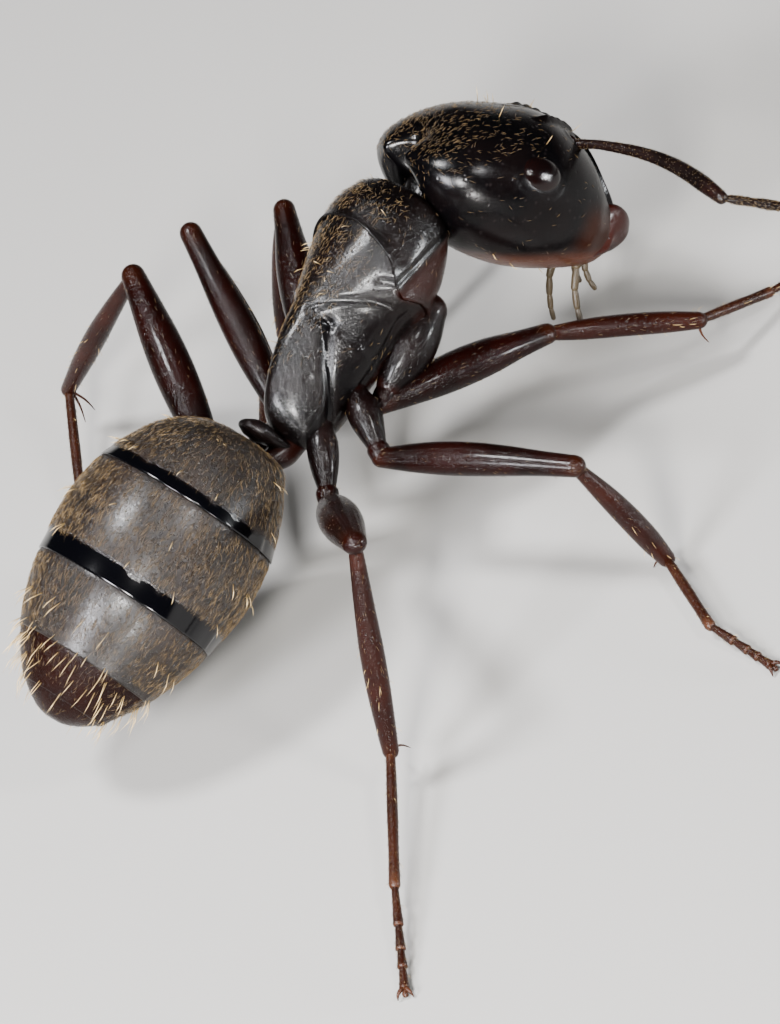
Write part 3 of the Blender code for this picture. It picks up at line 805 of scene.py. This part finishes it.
def spurs(ankle, down, inward, length, spreads):
    """Spurs that stand off the ankle inwards and a little down the leg."""
    made = []
    inner = unit(inward - down * (inward @ down))
    for spread in spreads:
        spur = unit(0.40 * down + inner + np.cross(down, inner) * spread)
        curl = [ankle + 0.06 * inner, ankle + 0.07 * inner + 0.5 * length * spur,
                ankle + 0.08 * inner + length * unit(spur + 0.2 * down)]
        made.append(skin(limbed(curl, (0.022, 0.016, 0.005), cap=0.06), 10, 16, unmarked))
    return made


def claws(root, forward):
    """Two hooked claws and the pad between them."""
    made = []
    across = unit(np.cross(UP, forward))
    for turn in (-1.0, 1.0):
        out = unit(forward + 0.75 * turn * across)
        hook = [root] + [root + reach * out + (0.0, 0.0, rise)
                         for reach, rise in ((0.075, 0.045), (0.145, 0.030), (0.175, -0.030))]
        made.append(skin(limbed(hook, (0.034, 0.030, 0.020, 0.006), cap=0.06), 10, 18, unmarked))
    pad = limbed([root, root + 0.09 * forward - (0.0, 0.0, 0.012)], (0.03, 0.042), cap=0.25)
    return made + [skin(pad, 14, 12, unmarked)]


for leg, ways in WAYS.items():
    pair = leg.split("_")[0]
    lengths = LENGTHS[pair]
    hip, knuckle = on_trunk(HIPS[leg])
    joints = [hip, hip + (knuckle - hip) * COXA_SHARE, knuckle]
    for length, way in zip(lengths, ways[:3]):
        joints.append(joints[-1] + heading(way) * length)
    drop = math.degrees(math.asin((FOOT_LOW - joints[-1][2]) / lengths[3]))
    joints.append(joints[-1] + heading((ways[3], drop)) * lengths[3])
    hip, joint, knuckle, knee, ankle, heel, toe = joints

    for part, form, start, end, radii, grid, look, more in (
            ("coxa", "shell", hip, joint, COXA_RADII[pair], (40, 44), COXA_SHELL, {"cap": 0.14}),
            ("trochanter", "ring", joint, knuckle, TROCHANTER_RADII, (32, 24), LEG_SHELL, {"cap": 0.16}),
            ("femur", "shell", knuckle, knee, FEMUR_RADII[pair], (40, 64), LEG_SHELL,
             {"flat": 0.92, "bend": 0.05, "cap": 0.07}),
            ("tibia", "shell", knee, ankle, TIBIA_RADII[pair], (36, 64), SHIN_SHELL,
             {"flat": 0.94, "bend": 0.03, "cap": 0.05})):
        piece = skin(shaft(start, end, radii, **more), *grid)
        finished("%s_%s_%s" % (part, form, leg), piece, look, [part + "_" + leg])

    rod = skin(shaft(ankle, heel, BASITARSUS_RADII, cap=0.04), 24, 48)
    spreads = (0.0,) if pair == "fore" else (-0.35, 0.35)
    inward = on_trunk(BELOW_TRUNK) - ankle
    rod = joined(rod, *spurs(ankle, unit(ankle - knee), inward, SPUR_LENGTHS[pair], spreads))
    finished("basitarsus_rod_" + leg, rod, FOOT_SHELL, ["basitarsus_" + leg])

    along = toe - heel
    beads = []
    for start, end in zip(TARSUS_CUTS, TARSUS_CUTS[1:]):
        bead = shaft(heel + along * start, heel + along * end, TARSUS_RADII, cap=0.12, blunt=0.5)
        beads.append(skin(bead, 20, 18))
    beads += claws(heel + along * TARSUS_CUTS[-1], unit(along))
    finished("foot_" + leg, joined(*beads), FOOT_SHELL, ["tarsus_" + leg])


# ---------------- hair
NUDGE = 0.002                   # step that finds the skin's slope
HAIR_DROOP = 0.10               # how far the tip bends back to the skin, in hair lengths


def sown(surface, seed, count, comb, length, width, lift=12.0, swirl=16.0, keep=None,
         cell=(0.02, 0.02, 0.96, 0.96), tries=9):
    """Hairs scattered evenly over a surface and combed one way: their points, and roots on the unwrap.

    lift is the slope over the skin in degrees, swirl scatters the comb, keep(points) thins the coat
    from 1 to 0, and cell is the surface's place on the unwrap.
    """
    rng = np.random.default_rng(seed)
    u, v = rng.random(count * tries), 0.004 + 0.992 * rng.random(count * tries)
    root = surface(u, v)
    du, dv = surface(u + NUDGE, v) - root, surface(u, np.minimum(v + NUDGE, 1.0)) - root
    normal = np.cross(du, dv)
    area = np.linalg.norm(normal, axis=1)
    chance = area / np.quantile(area, 0.98)
    if keep is not None:
        chance = chance * keep(root)
    chosen = np.nonzero((rng.random(len(u)) < chance) & (area > 1e-12))[0][:count]
    u, v, root, normal = u[chosen], v[chosen], root[chosen], unit(normal[chosen])
    flat = unit(comb - normal * np.sum(comb * normal, axis=1, keepdims=True))
    turn = np.radians(rng.normal(0.0, swirl, len(u)))[:, None]
    flat = flat * np.cos(turn) + np.cross(normal, flat) * np.sin(turn)
    slope = np.radians(lift * (0.7 + 0.6 * rng.random(len(u))))[:, None]
    size = (length * (0.65 + 0.6 * rng.random(len(u))))[:, None]
    way = flat * np.cos(slope) + normal * np.sin(slope)
    side = unit(np.cross(normal, way))
    other = np.cross(way, side)
    points = []
    for reach, thick, arch in ((-0.04, 1.0, 0.0), (0.5, 0.8, 0.35)):
        centre = root + way * size * reach + normal * HAIR_DROOP * size * arch
        for third in range(3):
            a = 0.5 * math.pi + third * 2 * math.pi / 3
            points.append(centre + width * thick * (math.cos(a) * side + math.sin(a) * other))
    points.append(root + way * size - normal * HAIR_DROOP * size)
    spots = np.stack((cell[0] + u * cell[2], cell[1] + v * cell[3]), axis=1)
    return np.stack(points, axis=1), spots


# a hair: three corners at its root, three half way up and its tip
HAIR_FACES = [(0, 1, 4, 3), (1, 2, 5, 4), (2, 0, 3, 5), (3, 4, 6), (4, 5, 6), (5, 3, 6), (2, 1, 0)]
HAIR_MARK = (0, 0, 0, 0.6, 0.6, 0.6, 1)
HAIR_PATCH = np.array([(-1, -1), (1, -1), (0, 1), (-0.6, -0.6), (0.6, -0.6), (0, 0.6), (0, 0)]) * 0.0014


def coat(name, sowings, look):
    """One piece of hair from several sowings, each hair a small patch on the unwrap of the skin."""
    points, spots = (np.concatenate(both) for both in zip(*sowings))
    count = len(points)
    corners = np.concatenate(HAIR_FACES)
    hairs = np.arange(count)[:, None]
    loops = (hairs * len(HAIR_MARK) + corners).reshape(-1)
    starts = hairs * len(corners) + np.cumsum([0] + [len(f) for f in HAIR_FACES[:-1]])
    patch = (spots[:, None] + HAIR_PATCH).reshape(-1, 2)
    mesh = bpy.data.meshes.new(name)
    for items, size, key, values, kind in (
            (mesh.vertices, count * len(HAIR_MARK), "co", points * MM, np.float32),
            (mesh.loops, len(loops), "vertex_index", loops, np.int32),
            (mesh.polygons, count * len(HAIR_FACES), "loop_start", starts, np.int32)):
        items.add(size)
        items.foreach_set(key, values.reshape(-1).astype(kind))
    marks = mesh.attributes.new("mark", "FLOAT", "POINT")
    marks.data.foreach_set("value", np.tile(HAIR_MARK, count).astype(np.float32))
    unwrap = mesh.uv_layers.new(name="OFBake")
    unwrap.uv.foreach_set("vector", patch[loops].reshape(-1).astype(np.float32))
    mesh.update(calc_edges=True)
    mesh.validate()
    mesh.shade_smooth()
    added(name, mesh, look)


def back_to(at, axes):
    """Reads the floor's points on a body part's own axes."""
    return lambda points: (points - at - PLACE) @ axes


of_trunk, of_head = back_to(TRUNK_AT, TRUNK_AXES), back_to(HEAD_AT, HEAD_AXES)
of_gaster = back_to(GASTER_AT, GASTER_AXES)

# gaster: flat golden down combed to the tail, none on the bare bands, and rows of bristles
gaster_skin = bodied(GASTER, on_gaster, gaster_mould)
TAILWARD = -GASTER_AXES[:, 0]


def on_plate(k):
    def keep(points):
        x = of_gaster(points)[:, 0]
        return (x < GASTER_CUTS[k] - 0.02) & (x > GASTER_CUTS[k + 1] + BANDS[k] + 0.07)
    return keep


def in_rows(k, places):
    """Rows across a plate, at distances in front of its rear edge."""
    def keep(points):
        x = of_gaster(points)[:, 0] - GASTER_CUTS[k + 1]
        return np.maximum.reduce([bell(x - place, 0.022) for place in places])
    return keep


for k, count in enumerate((2500, 4600, 3300, 1000, 160)):
    down = sown(gaster_skin, 20 + k, count, TAILWARD, 0.120, 0.0025, lift=8.0, keep=on_plate(k))
    coat("gaster_down_%d" % (k + 1), [down], DOWN_HAIR)
# each plate's bristles: count, length, lift and places of their rows
BRISTLES = ((18, 0.20, 40.0, (0.30, 0.9)), (30, 0.22, 40.0, (0.37, 0.9)), (58, 0.32, 44.0, (0.05, 0.45)),
            (90, 0.36, 42.0, (0.05, 0.24, 0.44)), (40, 0.34, 30.0, (0.06, 0.20)))
bristles = [sown(gaster_skin, 40 + k, count, TAILWARD, length, 0.0066, lift=lift, swirl=9.0,
                 keep=in_rows(k, places), tries=250)
            for k, (count, length, lift, places) in enumerate(BRISTLES)]
coat("gaster_bristles", bristles, BRISTLE)


# trunk: golden down on the back, a few upright bristles
def on_back(points):
    x, y, z = of_trunk(points).T
    back = step(z, 0.42, 0.80) * step(x, -1.3, -0.3) + 0.06 * step(x, -1.7, -0.5)
    return np.clip(back, 0.0, 1.0) * fall(x, 1.80, 1.95)


trunk_skin = bodied(TRUNK, on_trunk, trunk_mould)
trunk_down = sown(trunk_skin, 61, 1500, -TRUNK_AXES[:, 0], 0.095, 0.0028, lift=14.0, swirl=34.0,
                  keep=on_back)
trunk_bristles = sown(trunk_skin, 62, 18, -TRUNK_AXES[:, 0], 0.20, 0.0058, lift=66.0, swirl=40.0,
                      keep=lambda p: step(of_trunk(p)[:, 2], 0.5, 0.7))
coat("trunk_down", [trunk_down], DOWN_HAIR)
coat("trunk_bristles", [trunk_bristles], BRISTLE)


# head: down round the rear corners, scattered elsewhere, bristles on the crown and under the throat
def on_crown(points):
    x, y, z = of_head(points).T
    rear = fall(x, -1.36, -1.02) * step(z, -0.15, 0.25)
    top = fall(x, -0.9, 0.4) * step(z, 0.26, 0.56)
    return np.clip(rear + 0.34 * top + 0.035, 0.0, 1.0) * fall(x, 1.3, 1.6)


head_skin = bodied(HEAD, on_head, head_mould, HEAD_LOBE)
head_down = sown(head_skin, 71, 1700, HEAD_AXES[:, 0], 0.082, 0.0022, lift=12.0, swirl=36.0,
                 keep=on_crown)
crown_bristles = sown(head_skin, 72, 15, -HEAD_AXES[:, 0], 0.23, 0.0066, lift=70.0, swirl=50.0,
                      keep=lambda p: step(of_head(p)[:, 2], 0.62, 0.85))
throat_bristles = sown(head_skin, 73, 24, HEAD_AXES[:, 0], 0.18, 0.0070, lift=55.0, swirl=40.0,
                       keep=lambda p: fall(of_head(p)[:, 2], -0.95, -0.8))
coat("head_down", [head_down], DOWN_HAIR)
coat("head_bristles", [crown_bristles, throat_bristles], BRISTLE)


# legs and feelers: very short hairs, denser on the slim lengths, and none that reach the floor
def off_floor(points):
    return step(points[:, 2], 0.09, 0.15)


def on_underside(points):
    return off_floor(points) * fall(points[:, 2] - points[:, 2].mean(), -0.3, 0.3)


def cell_of(k, across, pitch, size):
    """Place on the unwrap of the k-th surface of a grid."""
    return (0.01 + pitch * (k % across), 0.01 + pitch * (k // across), size, size)


FOOT_THICK, SHIN_THICK = 0.2, 0.34      # thickest length with a foot's dense hair, and with bristles
small, stiff = [], []
for k, (surface, way) in enumerate(leg_surfaces):
    cell = cell_of(k, 10, 0.098, 0.09)
    span = np.linalg.norm(way)
    middle = surface(np.linspace(0, 1, 9), np.full(9, 0.5))
    thick = np.ptp(middle @ unit(np.cross(way, (0.3, 0.5, 0.8))))
    per_mm, short, long = (36, 0.070, 0.12) if thick > FOOT_THICK else (110, 0.055, 0.10)
    small.append(sown(surface, 100 + k, int(span * per_mm), way, short, 0.0022, lift=22.0, swirl=14.0,
                      keep=off_floor, cell=cell))
    if thick < SHIN_THICK:
        stiff.append(sown(surface, 200 + k, int(span * 6), way, long, 0.0034, lift=38.0, swirl=10.0,
                          keep=on_underside, cell=cell))
coat("leg_down", small, DOWN_HAIR)
coat("leg_bristles", stiff, BRISTLE)
bloom = [sown(surface, 300 + k, int(np.linalg.norm(way) * 240), way, 0.040, 0.0022, lift=24.0,
              cell=cell_of(k, 5, 0.19, 0.18)) for k, (surface, way) in enumerate(feeler_surfaces)]
coat("feeler_down", bloom, DOWN_HAIR)

# ---------------- floor, light and camera
FLOOR_SIZE = 600.0
# painted pool of light: the floor's colour is paler near the ant and darker away from it
FLOOR_LIGHT_FALLOFF = (18.0, 90.0)       # the pale floor darkens between these distances from the ant
floor_form = bmesh.new()
bmesh.ops.create_grid(floor_form, x_segments=2, y_segments=2, size=FLOOR_SIZE * MM)
floor_mesh = bpy.data.meshes.new("studio_floor")
floor_form.to_mesh(floor_mesh)
floor_form.free()
floor_finish, tree, shader = new_finish("pale_floor")
cloud = noise(tree, millimetres(tree), 0.05, 2.0)
away = node(tree, "VectorMath", {"operation": "LENGTH"}, i0=millimetres(tree)).outputs["Value"]
pale = mixed(tree, cloud, rgb(1580, 1530, 1450), rgb(1750, 1690, 1610))
# painted pool of light: the floor colour darkens with distance from the ant
pale = mixed(tree, ramp(tree, away, *FLOOR_LIGHT_FALLOFF), pale, rgb(800, 780, 750))
feed(tree, shader, {"Base Color": pale, "Roughness": 0.7})
floor_mesh.materials.append(floor_finish)
linked("studio_floor", floor_mesh)

EYE_POINT = np.array((-39.713, -57.904, 59.536)) + PLACE
AIM_POINT = np.array((-1.256, -1.117, 1.258)) + PLACE
CAMERA_LENS, SENSOR = 237.3, 36.0
# columns: the camera's right, up and back
VIEW_AXES = np.array(((0.6134, 0.6642, -0.4273), (-0.7285, 0.2669, -0.6310), (-0.3050, 0.6983, 0.6475)))
camera = linked("camera", bpy.data.cameras.new("camera"))
camera.data.lens, camera.data.sensor_width = CAMERA_LENS, SENSOR
camera.data.clip_start, camera.data.clip_end = 0.001, 20.0
camera.matrix_world = Matrix.Translation(Vector(EYE_POINT * MM)) @ Matrix(VIEW_AXES.tolist()).to_4x4()
bpy.context.scene.camera = camera

# square lamps aimed at the ant, placed on the camera's axes
for name, spot, size, power, tone in (
        ("key", (-15.0, -9.0, 60.0), 10.0, 0.150, (1.0, 0.99, 0.97)),
        ("side", (60.0, 12.0, 24.0), 11.0, 0.100, (0.95, 0.98, 1.0)),
        ("overhead", (-42.0, 42.0, 40.0), 14.0, 0.180, (0.97, 0.98, 1.0)),
        ("flank", (-39.0, -10.0, 46.0), 15.0, 0.150, (0.94, 0.95, 1.0)),
        ("crown", (20.0, 27.0, 53.0), 7.0, 0.034, (1.0, 1.0, 1.0)),
        ("low", (5.0, -34.0, 52.0), 8.0, 0.070, (1.0, 0.98, 0.95))):
    lamp = bpy.data.lights.new(name, "AREA")
    lamp.shape, lamp.size, lamp.energy, lamp.color = "SQUARE", size * MM, power, tone
    offset = VIEW_AXES @ np.array(spot)
    linked(name, lamp).matrix_world = facing((AIM_POINT + offset) * MM, offset)
world = bpy.data.worlds.new("studio")
bpy.context.scene.world = world
world.use_nodes = True
tree = world.node_tree
feed(tree, tree.nodes["Background"], {"Color": rgb(8200, 8800, 9200), "Strength": 0.035})
